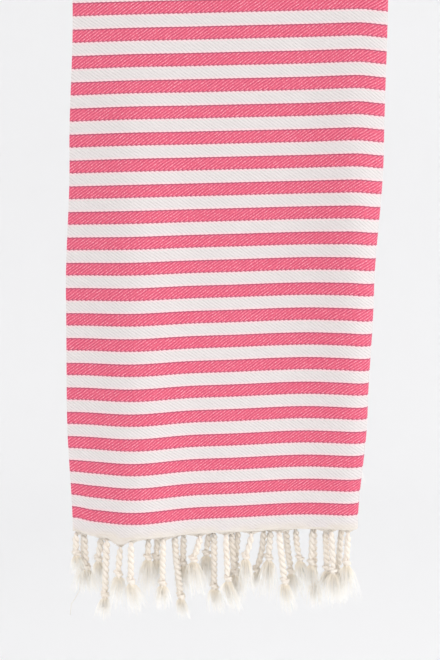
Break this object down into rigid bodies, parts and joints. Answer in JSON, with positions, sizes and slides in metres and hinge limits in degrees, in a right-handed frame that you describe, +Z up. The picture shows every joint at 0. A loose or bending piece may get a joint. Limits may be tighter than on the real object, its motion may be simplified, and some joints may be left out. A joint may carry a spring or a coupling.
{
  "type": "hammam towel",
  "caption": "Striped flat-woven cotton hammam towel folded in three lengthwise, hanging over a bar space, with twisted and knotted fringe at both ends.",
  "frame": {"origin": "on the underside of the crown at its middle, where a bar would bear", "axes": "+Z up, +X across the towel to the viewer's right, -Y towards the viewer and the longer front flap"},
  "size_m": [0.3139, 0.1095, 0.9595],
  "materials": {
    "striped_cotton": "matt twill weave in even pink and white cross stripes",
    "cotton_yarn": "matt natural cotton yarn, twisted, knotted and brushed out at the tips"
  },
  "bodies": {
    "root": {"cloth": "striped_cotton", "fringe_front": "cotton_yarn", "fringe_back": "cotton_yarn"}
  },
  "joints": []
}
